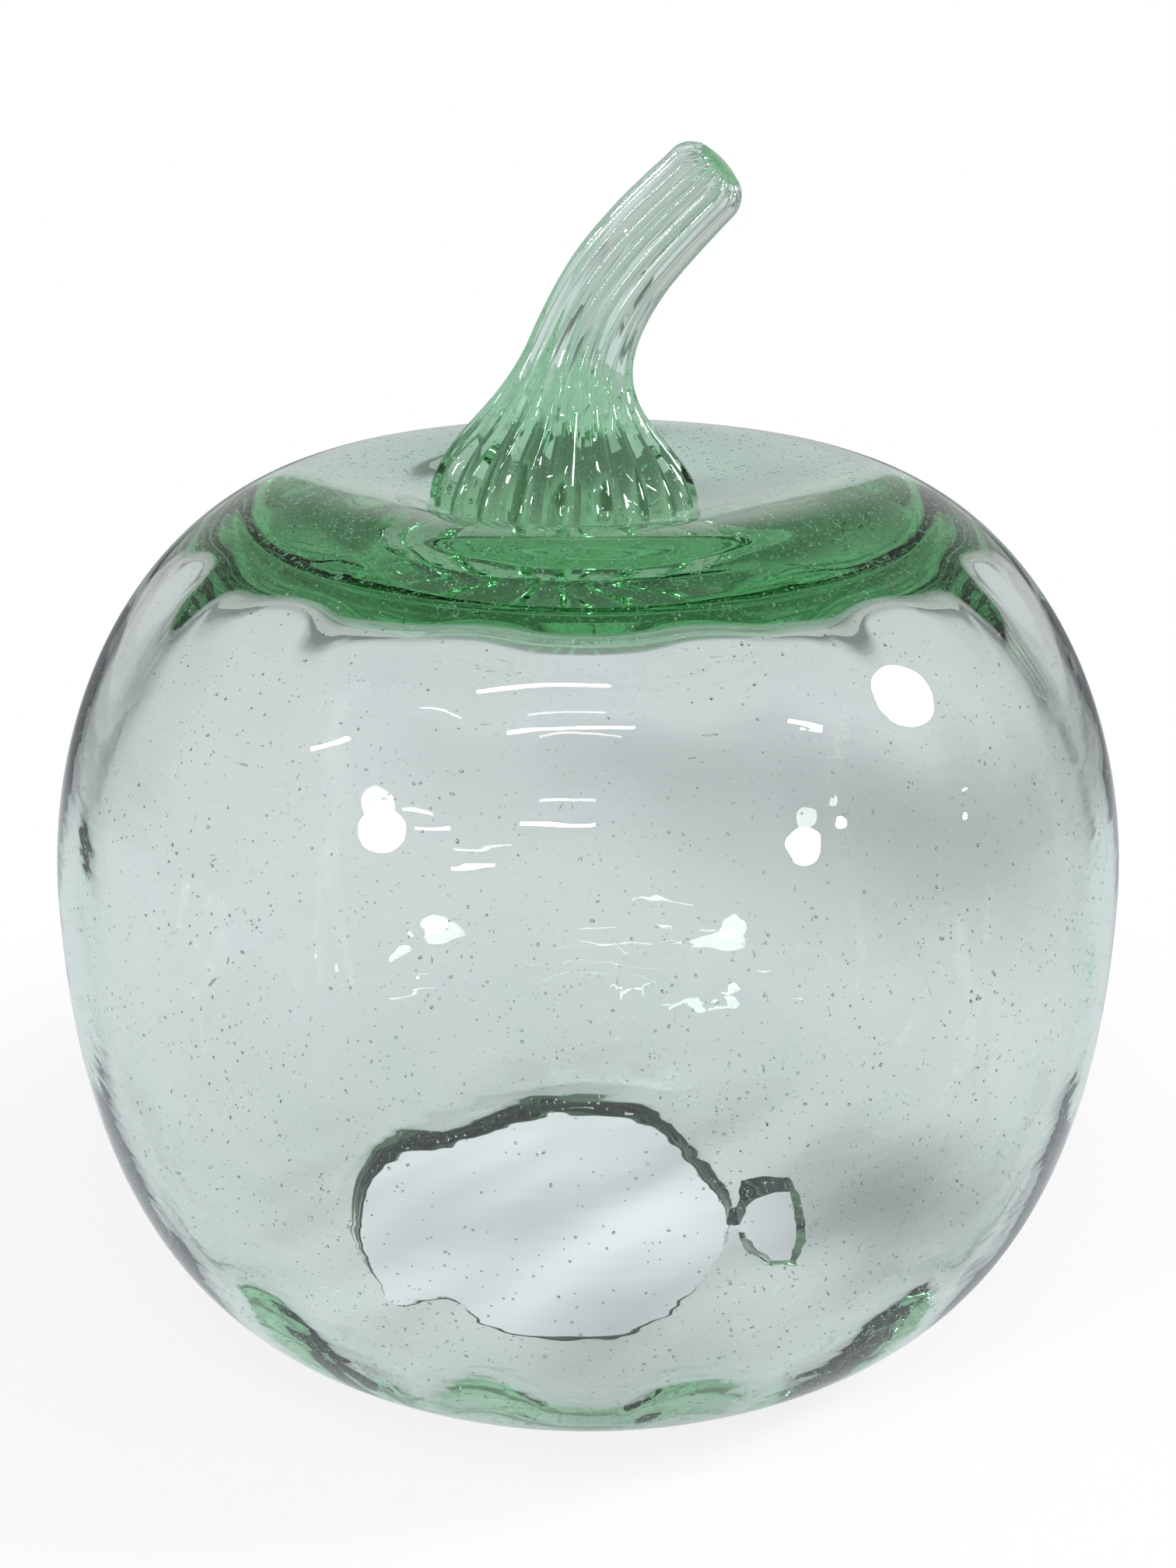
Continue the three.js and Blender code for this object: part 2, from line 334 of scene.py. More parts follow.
def body_profile():
    """Rows of (radius, height, rib, lip, foot, wobble, bevel)."""
    rows = []

    def add(point, rib=0.0, lip=0.0, foot=0.0, wobble=0.0, bevel=0.0):
        rows.append((*point, rib, lip, foot, wobble, bevel))

    inside = (BODY_RADIUS - SIDE_WALL, BELLY_HEIGHT)
    outside = (BODY_RADIUS, BELLY_HEIGHT)
    for point in through(CEILING_KNOTS, CEILING_RUNS):
        add(point, wobble=CEILING_WOBBLE)
    ceiling_edge = tuple(value * MM for value in CEILING_KNOTS[-1][:2])
    upper = quarter(ceiling_edge, inside, SHOULDER_ROUNDNESS, INNER_STEPS)
    for step, point in enumerate(upper[:-1]):
        share = step / INNER_STEPS
        rib = SHOULDER_RIB * soft_step(share, *SHOULDER_RISE)
        rib *= 1 - (1 - BELLY_RIB / SHOULDER_RIB) * soft_step(share, *SHOULDER_FADE)
        wobble = CEILING_WOBBLE + (1 - CEILING_WOBBLE) * soft_step(share, *CEILING_WOBBLE_RISE)
        add(point, rib=rib, wobble=wobble)
    lower = quarter((RING_OUTER, BASE_HEIGHT), inside, LOWER_ROUNDNESS, INNER_STEPS)[::-1]
    for step, point in enumerate(lower[:-1]):
        share = step / INNER_STEPS
        rib = BELLY_RIB + (LOWER_RIB - BELLY_RIB) * soft_step(share, *LOWER_RISE)
        add(point, rib=rib * (1 - soft_step(share, *LOWER_FADE)), wobble=1.0)

    edge = LIP_RADIUS + LIP_ROUND
    for radius, height in straight((RING_OUTER, BASE_HEIGHT), (edge, BASE_HEIGHT), 8):
        share = (RING_OUTER - radius) / (RING_OUTER - edge)
        add((radius, height - LIP_THINNING * share), lip=share, wobble=1.0 - share, bevel=share)
    turns = [math.pi / 2 * step / 4 for step in range(5)]
    top = BASE_HEIGHT - LIP_THINNING
    for turn in turns:
        height = top - LIP_ROUND * (1 - math.cos(turn))
        add((edge - LIP_ROUND * math.sin(turn), height), lip=1.0, bevel=1.0)
    face = (LIP_RADIUS, top - LIP_FACE_DROP), (LIP_RADIUS, KICK_HEIGHT + LIP_ROUND)
    for radius, height in straight(*face, 4):
        add((radius, height), lip=1.0, bevel=(height - KICK_HEIGHT) / (top - KICK_HEIGHT))
    for turn in turns:
        height = KICK_HEIGHT + LIP_ROUND * (1 - math.sin(turn))
        add((edge - LIP_ROUND * math.cos(turn), height), lip=1.0)
    for radius, height in list(straight((edge, KICK_HEIGHT), (RING_INNER, 0), 6))[1:]:
        add((radius, height), lip=(RING_INNER - radius) / (RING_INNER - edge))
    for point in straight((RING_INNER, 0), (RING_OUTER, 0), 4):
        add(point)

    for step, point in enumerate(quarter((RING_OUTER, 0), outside, LOWER_ROUNDNESS, OUTER_STEPS)[:-1]):
        add(point, wobble=OUTER_WOBBLE * soft_step(step, *OUTER_WOBBLE_STEPS))
    roll_start = ROLL_KNOTS[0][0] * MM
    crown = (CROWN_RADIUS, CROWN_HEIGHT)
    for point in quarter(crown, outside, UPPER_ROUNDNESS, OUTER_STEPS)[:0:-1]:
        if point[0] > roll_start + ROLL_GAP:
            add(point, wobble=OUTER_WOBBLE)
    for point in through(ROLL_KNOTS, ROLL_RUNS):
        add(point, foot=soft_step(point[0], CROWN_RADIUS, DIMPLE_RADIUS), wobble=OUTER_WOBBLE)
    for point in straight((DIMPLE_RADIUS, SEAT_HEIGHT), (0, SEAT_HEIGHT), 8):
        add(point, foot=1.0)
    add((0, SEAT_HEIGHT), foot=1.0)
    return rows


profile = body_profile()
print("profile points", len(profile))

# %% [markdown]
# The break follows no rule, so its plan is a list of points: the angle round the axis, counted from +X, and
# how far the glass is broken back there, in millimetres. A Float Curve node holds them and joins them
# smoothly, so a tree can ask for the radius at any angle.

# %% Plan of the broken edge
BREAK_PLAN = [
    (0, 28.6), (8, 28.6), (21, 28.6), (35, 29.8), (50, 33.3), (62, 37.2), (70, 40.2), (76, 41), (85, 41.7),
    (95, 42.4), (105, 43), (112, 42), (119, 41.1), (127, 40.2), (133, 40.6), (138, 41.4), (141, 43.4),
    (144, 45.8), (147, 47.4), (154, 47.9), (162, 47.7), (173, 47.1), (187, 46.9), (193, 46.9), (201, 47.1),
    (208, 48), (216, 49.1), (222, 50.5), (226, 50.9), (228.5, 47.8), (231, 43.5), (234, 43.2), (239, 44.7),
    (246, 47.5), (251, 48.8), (255, 48.4), (262, 47.6), (270, 47.1), (278, 46.5), (285, 44.3), (293, 41.5),
    (300, 39), (309, 36), (320, 33.1), (330, 31), (345, 29), (360, 28.6),
]
BREAK_SCALE = 60 * MM


def break_radius(tree, angle):
    """The radius of the broken edge at an angle in radians, from the Float Curve that holds its plan."""
    share = calc(tree, "FRACT", calc(tree, "DIVIDE", angle, 2 * math.pi))
    plan = node(tree, "ShaderNodeFloatCurve", {"Value": share})
    curve = plan.mapping.curves[0]
    points = [(angle / 360, radius * MM / BREAK_SCALE) for angle, radius in BREAK_PLAN]
    curve.points[0].location = points[0]
    curve.points[1].location = points[-1]
    for point in points[1:-1]:
        curve.points.new(*point)
    plan.mapping.update()
    return calc(tree, "MULTIPLY", plan.outputs[0], BREAK_SCALE)


reach = [radius for angle, radius in BREAK_PLAN]
print("break from", min(reach), "to", max(reach), "mm")

# %% [markdown]
# The tree reads the profile from a mesh of bare points. Each weight is a named attribute there, and two more
# give the way out of the glass, along which the ribs and the unevenness are raised.

# %% Profile as a mesh
WEIGHTS = ("rib", "lip", "foot", "wobble", "bevel", "out_r", "out_z")


def facing(rows):
    """The way out of the glass at each row: a quarter turn clockwise from the way the profile runs."""
    for i in range(len(rows)):
        before, after = rows[max(i - 1, 0)], rows[min(i + 1, len(rows) - 1)]
        run = Vector((after[0] - before[0], after[1] - before[1])).normalized()
        yield run.y, -run.x


def profile_mesh(rows):
    mesh = bpy.data.meshes.new("body_profile")
    links = [(i, i + 1) for i in range(len(rows) - 1)]
    mesh.from_pydata([(row[0], 0, row[1]) for row in rows], links, [])
    full = [(*row[2:], *way) for row, way in zip(rows, facing(rows))]
    for column, name in enumerate(WEIGHTS):
        attribute = mesh.attributes.new(name, "FLOAT", "POINT")
        attribute.data.foreach_set("value", [values[column] for values in full])
    return mesh


body_points = profile_mesh(profile)
print("profile carries", ", ".join(WEIGHTS))

# %% [markdown]
# A grid of points, one column for each step round and one row for each profile point, is wrapped round the
# axis. The nodes raise the ribs, add two sizes of unevenness, bite the lip back to the break's plan and slant
# its face at the back and the left, where the real edge shows a broad green face. A Screw modifier would turn
# the profile too, but not change it on the way round.

# %% Wrap the profile round the axis
BODY_SIZES = {
    "Steps round": 252, "Rib count": 14, "Rib depth": 1.4 * MM, "Rib sharpness": 2.0,
    "Wobble": 0.3 * MM, "Wobble scale": 28.0, "Ripple": 0.14 * MM, "Ripple scale": 120.0, "Bevel": 2.0 * MM,
}
SLANT_FADE = (-0.9, -0.2)
SHEER_FADE = (0.1, 0.8)
SHEER_SHARE = 0.25
SEAM_GAP = 1e-6


def body_tree(row_count):
    tree, given, result = new_tree("wrap_profile", BODY_SIZES)
    columns = calc(tree, "ADD", given["Steps round"], 1)
    grid = node(tree, "GeometryNodeMeshGrid", {"Vertices X": columns, "Vertices Y": row_count})
    index = node(tree, "GeometryNodeInputIndex").outputs[0]
    row = calc(tree, "MODULO", index, row_count)
    column = calc(tree, "FLOOR", calc(tree, "DIVIDE", index, row_count))
    angle = calc(tree, "MULTIPLY", column, calc(tree, "DIVIDE", 2 * math.pi, given["Steps round"]))

    def from_profile(value, data_type):
        feeds = {"Geometry": given["Geometry"], "Value": value, "Index": row}
        return node(tree, "GeometryNodeSampleIndex", feeds, data_type=data_type).outputs[0]

    def weight(name):
        named = node(tree, "GeometryNodeInputNamedAttribute", {"Name": name}, data_type="FLOAT")
        return from_profile(named.outputs[0], "FLOAT")

    place = from_profile(node(tree, "GeometryNodeInputPosition").outputs[0], "FLOAT_VECTOR")
    place = node(tree, "ShaderNodeSeparateXYZ", {0: place}).outputs

    def wrap(radius, height):
        return node(tree, "ShaderNodeCombineXYZ", {
            "X": calc(tree, "MULTIPLY_ADD", radius, calc(tree, "COSINE", angle),
                      calc(tree, "MULTIPLY", weight("foot"), FOOT_OFFSET)),
            "Y": calc(tree, "MULTIPLY", radius, calc(tree, "SINE", angle)),
            "Z": height,
        }).outputs[0]

    from_front = calc(tree, "ADD", angle, math.pi / 2)
    wave = calc(tree, "COSINE", calc(tree, "MULTIPLY", from_front, given["Rib count"]))
    ridge = calc(tree, "POWER", calc(tree, "MULTIPLY_ADD", wave, -0.5, 0.5), given["Rib sharpness"])
    ridge = calc(tree, "MULTIPLY", calc(tree, "MULTIPLY", ridge, given["Rib depth"]), weight("rib"))

    def waves(size):
        cloud = node(tree, "ShaderNodeTexNoise", {
            "Vector": wrap(place["X"], place["Z"]), "Scale": given[size + " scale"], "Detail": 1.0,
        }).outputs[0]
        return calc(tree, "MULTIPLY", calc(tree, "SUBTRACT", cloud, 0.5), given[size])

    uneven = calc(tree, "ADD", waves("Wobble"), waves("Ripple"))
    raised = calc(tree, "MULTIPLY_ADD", uneven, weight("wobble"), ridge)
    bitten = calc(tree, "SUBTRACT", break_radius(tree, angle), LIP_RADIUS)
    bitten = calc(tree, "MULTIPLY_ADD", bitten, weight("lip"), place["X"])
    slant = ramp(tree, calc(tree, "SINE", angle), *SLANT_FADE, 0.0, given["Bevel"])
    sheer = ramp(tree, calc(tree, "COSINE", angle), *SHEER_FADE, 1.0, SHEER_SHARE)
    slant = calc(tree, "MULTIPLY", slant, sheer)
    bitten = calc(tree, "MULTIPLY_ADD", slant, weight("bevel"), bitten)
    spot = wrap(calc(tree, "MULTIPLY_ADD", raised, weight("out_r"), bitten),
                calc(tree, "MULTIPLY_ADD", raised, weight("out_z"), place["Z"]))
    wrapped = node(tree, "GeometryNodeSetPosition", {"Geometry": grid.outputs[0], "Position": spot})
    closed = node(tree, "GeometryNodeMergeByDistance", {"Geometry": wrapped.outputs[0], "Distance": SEAM_GAP})
    smooth = node(tree, "GeometryNodeSetShadeSmooth", {"Geometry": closed.outputs[0]})
    real = node(tree, "GeometryNodeRealizeInstances", {"Geometry": smooth.outputs[0]})
    glass = node(tree, "GeometryNodeSetMaterial", {"Geometry": real.outputs[0], "Material": pumpkin_glass})
    tree.links.new(glass.outputs[0], result["Geometry"])
    return tree


body = run_tree("glass_body", body_points, body_tree(len(profile)), BODY_SIZES)
print("body faces", len(body.data.polygons), "volume", signed_volume(body.data))

# %% [markdown]
# Beside the opening a fan-shaped chip has broken out of the base, joined to it by a narrow neck. On most
# sides it is wider below than above, so one looks through the base at its slanted walls, which mirror the
# green inside of the glass. A cutter with one plan below and another above takes it out in a Boolean, and its
# faces are made of the same glass as the rest. Plans and levels are in millimetres.

# %% Cut the chip
CHIP_PLAN = [
    (25.5, -4.6), (30.4, -8), (31, -12.5), (31.6, -17.8), (34.6, -23), (40.9, -21.5), (43.7, -12), (44, -3.4),
    (44.2, 4), (43.4, 10.4), (39, 11.2), (35, 8), (31.4, -2.6), (25.5, -3),
]
CHIP_TOP = [
    (25.5, -4.8), (30.8, -8.7), (32.3, -12.5), (33.6, -17.5), (35.4, -21.2), (39.5, -21.9), (41.4, -12.5),
    (41.8, -3.4), (41.8, 4), (42.2, 10), (35.8, 10.4), (32, 8.6), (30.6, -1.4), (25.5, -2.8),
]
CHIP_LEVELS = [(-2, CHIP_PLAN), (0.6, CHIP_PLAN), (4, CHIP_TOP), (10, CHIP_TOP)]


def combine(target, other, operation):
    """Applies a Boolean of the two, all of it in the same glass, and removes the other."""
    joint = target.modifiers.new("combine", "BOOLEAN")
    joint.operation = operation
    joint.solver = "EXACT"
    joint.object = other
    mesh = plain_copy(target)
    mesh.materials.clear()
    mesh.materials.append(pumpkin_glass)
    mesh.polygons.foreach_set("material_index", [0] * len(mesh.polygons))
    target.modifiers.remove(joint)
    target.data = mesh
    bpy.data.objects.remove(other)


def chip_cutter():
    count = len(CHIP_PLAN)
    points = [Vector((x, y, height)) * MM for height, plan in CHIP_LEVELS for x, y in plan]
    last = len(points) - count
    faces = [tuple(range(count))[::-1], tuple(range(last, last + count))]
    for low in range(0, last, count):
        for i in range(count):
            j = (i + 1) % count
            faces.append((low + i, low + j, low + j + count, low + i + count))
    mesh = bpy.data.meshes.new("chip_cutter")
    mesh.from_pydata(points, [], faces)
    cutter = bpy.data.objects.new("chip_cutter", mesh)
    bpy.context.scene.collection.objects.link(cutter)
    return cutter


combine(body, chip_cutter(), "DIFFERENCE")
print("body faces with the chip", len(body.data.polygons), "volume", signed_volume(body.data))

# %% [markdown]
# ## The stem
# The stem is a second gather, pulled through a fluted mould, laid into the dimple and bent over while soft.
# It could be modelled ring by ring, but it follows a path, so Curve to Mesh carries a fluted ring along one.
# The ring's scale gives the flare of the foot and rounds off both ends, and the curve's tilt twists it a
# little.

# %% Draw the stem along its path
STEM_SIZES = {
    "Foot offset": FOOT_OFFSET, "Foot height": 149.3 * MM, "Upright": 36.5 * MM, "Rise": 62.1 * MM,
    "Reach": 27.3 * MM, "Bend lead": 8.4 * MM, "Bend drop": 18.9 * MM, "Lean": -5 * MM,
    "Foot radius": 24.6 * MM, "Neck radius": 10.4 * MM, "Tip radius": 7.5 * MM, "Flare height": 18.3 * MM,
    "Flare power": 2.6, "Foot edge": 2 * MM, "Tip edge": 4.5 * MM, "Twist": math.radians(9),
    "Flutes": 20, "Flute depth": 0.15, "Unevenness": 0.35 * MM, "Unevenness scale": 110.0,
    "Steps along": 110, "Steps per flute": 7,
}


def rounding(tree, distance, radius):
    """How far a rounded edge stands back, at a distance from the end that it rounds."""
    inside = calc(tree, "MAXIMUM", calc(tree, "SUBTRACT", radius, distance), 0)
    rest = calc(tree, "SUBTRACT", calc(tree, "POWER", radius, 2), calc(tree, "POWER", inside, 2))
    return calc(tree, "SUBTRACT", radius, calc(tree, "SQRT", calc(tree, "MAXIMUM", rest, 0)))


def stem_tree():
    tree, given, result = new_tree("draw_stem", STEM_SIZES)

    def spot(x, z, y=0.0):
        return node(tree, "ShaderNodeCombineXYZ", {"X": x, "Y": y, "Z": z}).outputs[0]

    foot_x, foot_z = given["Foot offset"], given["Foot height"]
    tip_x = calc(tree, "ADD", foot_x, given["Reach"])
    tip_z = calc(tree, "ADD", foot_z, given["Rise"])
    line = node(tree, "GeometryNodeCurvePrimitiveBezierSegment", {
        "Resolution": 64,
        "Start": spot(foot_x, foot_z),
        "Start Handle": spot(foot_x, calc(tree, "ADD", foot_z, given["Upright"])),
        "End Handle": spot(calc(tree, "ADD", foot_x, given["Bend lead"]),
                           calc(tree, "SUBTRACT", tip_z, given["Bend drop"])),
        "End": spot(tip_x, tip_z, given["Lean"]),
    })
    line = node(tree, "GeometryNodeResampleCurve", {"Curve": line.outputs[0], "Count": given["Steps along"]})
    along = node(tree, "GeometryNodeSplineParameter").outputs
    turned = calc(tree, "MULTIPLY", along["Factor"], given["Twist"])
    twisted = node(tree, "GeometryNodeSetCurveTilt", {"Curve": line.outputs[0], "Tilt": turned})

    taper = calc(tree, "SUBTRACT", given["Tip radius"], given["Neck radius"])
    shaft = calc(tree, "MULTIPLY_ADD", taper, along["Factor"], given["Neck radius"])
    flare = calc(tree, "DIVIDE", along["Length"], given["Flare height"])
    flare = calc(tree, "POWER", flare, given["Flare power"])
    flare = calc(tree, "EXPONENT", calc(tree, "MULTIPLY", flare, -1))
    girth = calc(tree, "MULTIPLY_ADD", calc(tree, "SUBTRACT", given["Foot radius"], shaft), flare, shaft)
    length = node(tree, "GeometryNodeSplineLength").outputs["Length"]
    to_tip = calc(tree, "SUBTRACT", length, along["Length"])
    girth = calc(tree, "SUBTRACT", girth, rounding(tree, along["Length"], given["Foot edge"]))
    girth = calc(tree, "SUBTRACT", girth, rounding(tree, to_tip, given["Tip edge"]))

    points = calc(tree, "MULTIPLY", given["Flutes"], given["Steps per flute"])
    ring = node(tree, "GeometryNodeCurvePrimitiveCircle", {"Resolution": points, "Radius": 1.0})
    turn = calc(tree, "MULTIPLY", node(tree, "GeometryNodeSplineParameter").outputs["Factor"], math.pi)
    ridge = calc(tree, "ABSOLUTE", calc(tree, "COSINE", calc(tree, "MULTIPLY", turn, given["Flutes"])))
    groove = calc(tree, "MULTIPLY", calc(tree, "SUBTRACT", 1, ridge), given["Flute depth"])
    fluted = node(tree, "ShaderNodeVectorMath", {
        0: node(tree, "GeometryNodeInputPosition").outputs[0],
        "Scale": calc(tree, "SUBTRACT", 1, groove),
    }, operation="SCALE")
    ring = node(tree, "GeometryNodeSetPosition", {"Geometry": ring.outputs[0], "Position": fluted.outputs[0]})

    rod = node(tree, "GeometryNodeCurveToMesh", {
        "Curve": twisted.outputs[0], "Profile Curve": ring.outputs[0], "Scale": girth, "Fill Caps": True,
    })
    cloud = node(tree, "ShaderNodeTexNoise", {
        "Vector": node(tree, "GeometryNodeInputPosition").outputs[0], "Scale": given["Unevenness scale"],
        "Detail": 2.0,
    }).outputs[0]
    swell = calc(tree, "MULTIPLY", calc(tree, "SUBTRACT", cloud, 0.5), given["Unevenness"])
    swell = node(tree, "ShaderNodeVectorMath", {
        0: node(tree, "GeometryNodeInputNormal").outputs[0], "Scale": swell,
    }, operation="SCALE").outputs[0]
    uneven = node(tree, "GeometryNodeSetPosition", {"Geometry": rod.outputs[0], "Offset": swell})
    smooth = node(tree, "GeometryNodeSetShadeSmooth", {"Geometry": uneven.outputs[0]})
    real = node(tree, "GeometryNodeRealizeInstances", {"Geometry": smooth.outputs[0]})
    glass = node(tree, "GeometryNodeSetMaterial", {"Geometry": real.outputs[0], "Material": pumpkin_glass})
    tree.links.new(glass.outputs[0], result["Geometry"])
    return tree


stem = run_tree("glass_stem", bpy.data.meshes.new("glass_stem"), stem_tree(), STEM_SIZES)
print("stem faces", len(stem.data.polygons), "volume", signed_volume(stem.data))

# %% [markdown]
# ## One piece of glass
# The stem was laid on hot, so no face is left between the two: light runs from the body up into the stem.
# Two meshes that touch would show a mirror there, so a Boolean joins them into one closed surface.

# %% Fuse the stem and the body
SHARP_ANGLE = math.radians(40)
combine(body, stem, "UNION")
glass = body
glass.name = "fused_glass"
glass.data.set_sharp_from_angle(angle=SHARP_ANGLE)
print("fused faces", len(glass.data.polygons), "volume", signed_volume(glass.data))

# %% [markdown]
# ## Seeds
# Small air bubbles fill the body's glass, as they filled the melt. Nodes scatter points over its faces,
# thicker glass getting more, send a ray from each point through the glass to the face behind, and put a small
# ball somewhere on the way. Only the body gets them, up to a set height. Balls of clear glass stand in for
# the bubbles: like them they have a dark rim and a bright middle. A noise texture could darken specks, but
# they would lie on the surface and not glint.

# %% Scatter the seeds
SEED_SIZES = {
    "Per cubic metre": 1.15e7, "Seeded height": 158 * MM, "Least radius": 0.14 * MM, "Most radius": 0.3 * MM,
    "Cover": 0.15 * MM, "Stretch": 0.6, "Seed": 7,
}
RAY_LENGTH = 30 * MM
RAY_START = 0.01 * MM
BALL_FACES = 20
seed_glass = clear_glass("seed_glass")[0]


def seed_tree():
    tree, given, result = new_tree("scatter_seeds", SEED_SIZES)

    def thickness(normal):
        inwards = node(tree, "ShaderNodeVectorMath", {0: normal, "Scale": -1.0}, operation="SCALE").outputs[0]
        start = node(tree, "ShaderNodeVectorMath", {
            0: inwards, 1: (RAY_START,) * 3, 2: node(tree, "GeometryNodeInputPosition").outputs[0],
        }, operation="MULTIPLY_ADD").outputs[0]
        ray = node(tree, "GeometryNodeRaycast", {
            "Target Geometry": given["Geometry"], "Source Position": start, "Ray Direction": inwards,
            "Ray Length": RAY_LENGTH,
        })
        met = calc(tree, "MULTIPLY", ray.outputs["Hit Distance"], ray.outputs["Is Hit"])
        return met, inwards

    def chance(least, most, step):
        return node(tree, "FunctionNodeRandomValue", {
            2: least, 3: most, "Seed": calc(tree, "ADD", given["Seed"], step),
        }, data_type="FLOAT").outputs[1]

    across = thickness(node(tree, "GeometryNodeInputNormal").outputs[0])[0]
    spot = node(tree, "GeometryNodeInputPosition").outputs[0]
    spot = node(tree, "ShaderNodeSeparateXYZ", {0: spot}).outputs
    across = calc(tree, "MULTIPLY", across, calc(tree, "LESS_THAN", spot["Z"], given["Seeded height"]))
    points = node(tree, "GeometryNodeDistributePointsOnFaces", {
        "Mesh": given["Geometry"], "Density": calc(tree, "MULTIPLY", across, given["Per cubic metre"]),
        "Seed": given["Seed"],
    })
    share = calc(tree, "POWER", chance(0.0, 1.0, 1), 2.0)
    spread = calc(tree, "SUBTRACT", given["Most radius"], given["Least radius"])
    radius = calc(tree, "MULTIPLY_ADD", share, spread, given["Least radius"])
    need = calc(tree, "ADD", radius, given["Cover"])
    across, inwards = thickness(points.outputs["Normal"])
    room = calc(tree, "MULTIPLY_ADD", need, -2.0, across)
    depth = calc(tree, "MULTIPLY_ADD", room, chance(0.0, 1.0, 2), need)
    sunk = node(tree, "ShaderNodeVectorMath", {0: inwards, "Scale": depth}, operation="SCALE").outputs[0]
    moved = node(tree, "GeometryNodeSetPosition", {"Geometry": points.outputs["Points"], "Offset": sunk})
    gap = node(tree, "GeometryNodeProximity", {"Geometry": given["Geometry"]}, target_element="FACES")
    shallow = calc(tree, "LESS_THAN", gap.outputs["Distance"], radius)
    shallow = calc(tree, "MAXIMUM", shallow, calc(tree, "LESS_THAN", room, 0.0))
    deep = node(tree, "GeometryNodeDeleteGeometry", {"Geometry": moved.outputs[0], "Selection": shallow},
                domain="POINT")
    ball = node(tree, "GeometryNodeMeshIcoSphere", {"Radius": 1.0, "Subdivisions": 1})
    smooth = node(tree, "GeometryNodeSetShadeSmooth", {"Geometry": ball.outputs[0]})
    turn = node(tree, "ShaderNodeCombineXYZ", {i: chance(0.0, 2 * math.pi, 3 + i) for i in range(3)})
    drawn = calc(tree, "MULTIPLY_ADD", chance(0.0, 1.0, 6), given["Stretch"], 1.0)
    length = calc(tree, "MULTIPLY", radius, drawn)
    size = node(tree, "ShaderNodeCombineXYZ", {"X": radius, "Y": radius, "Z": length})
    balls = node(tree, "GeometryNodeInstanceOnPoints", {
        "Points": deep.outputs[0], "Instance": smooth.outputs[0],
        "Rotation": turn.outputs[0], "Scale": size.outputs[0],
    })
    real = node(tree, "GeometryNodeRealizeInstances", {"Geometry": balls.outputs[0]})
    clear = node(tree, "GeometryNodeSetMaterial", {"Geometry": real.outputs[0], "Material": seed_glass})
    tree.links.new(clear.outputs[0], result["Geometry"])
    return tree


seeds = run_tree("seeds", glass.data.copy(), seed_tree(), SEED_SIZES)
print("seeds", len(seeds.data.polygons) // BALL_FACES, "faces", len(seeds.data.polygons))

# %% [markdown]
# ## The room
# Glass shows what is around it, so the room is part of its look. The camera itself sees plain white behind
# the object. Through the glass and in reflections the room is a mid grey: palest near the horizon, darker
# above, at the back and at the back's two sides, which gives the green band its deep tones. Soft ramps over
# the direction are enough for that. Each pair below is where a ramp starts and ends, along X, Y or Z.

# %% Room
ROOM_LOW = 0.56
ROOM_HIGH = 0.31
ROOM_BACK = 0.21
ROOM_SIDES = 0.45
ROOM_TOP = 0.12
ROOM_FRONT = 0.4
HORIZON_Z = (0.08, 0.47)
OVERHEAD_Z = (0.6, 0.85)
BACK_Y, BACK_Z = (0.5, 0.85), (0.3, 0.46)
SIDE_X, SIDE_Y = (0.55, 0.85), (0.05, 0.35)
FRONT_Y = (-0.7, -0.2)


def studio_world():
    world = bpy.data.worlds.new("studio")
    bpy.context.scene.world = world
    world.use_nodes = True
    tree = world.node_tree
    tree.nodes.clear()
    way = node(tree, "ShaderNodeTexCoord").outputs["Generated"]
    way = node(tree, "ShaderNodeSeparateXYZ", {0: way}).outputs
    grey = ramp(tree, way["Z"], *HORIZON_Z, ROOM_LOW, ROOM_HIGH)
    above = ramp(tree, way["Z"], *OVERHEAD_Z, 0.0, ROOM_HIGH - ROOM_TOP)
    grey = calc(tree, "SUBTRACT", grey, above)
    behind = ramp(tree, way["Y"], *BACK_Y, 0.0, ROOM_HIGH - ROOM_BACK)
    raised = ramp(tree, way["Z"], *BACK_Z, 0.0, 1.0)
    grey = calc(tree, "SUBTRACT", grey, calc(tree, "MULTIPLY", behind, raised))
    sides = ramp(tree, calc(tree, "ABSOLUTE", way["X"]), *SIDE_X, 0.0, 1.0)
    past = ramp(tree, way["Y"], *SIDE_Y, 0.0, 1 - ROOM_SIDES)
    sides = calc(tree, "MULTIPLY", sides, past)
    grey = calc(tree, "MULTIPLY", grey, calc(tree, "SUBTRACT", 1.0, sides))
    front = ramp(tree, way["Y"], *FRONT_Y, ROOM_FRONT, 0.0)
    grey = calc(tree, "MAXIMUM", grey, front)
    seen = node(tree, "ShaderNodeLightPath").outputs["Is Camera Ray"]
    level = calc(tree, "MAXIMUM", grey, seen)
    light = node(tree, "ShaderNodeBackground", {"Color": (1, 1, 1, 1), "Strength": level})
    output = node(tree, "ShaderNodeOutputWorld")
    tree.links.new(light.outputs[0], output.inputs["Surface"])


studio_world()
print("room from", ROOM_TOP, "above to", ROOM_LOW, "at the horizon")
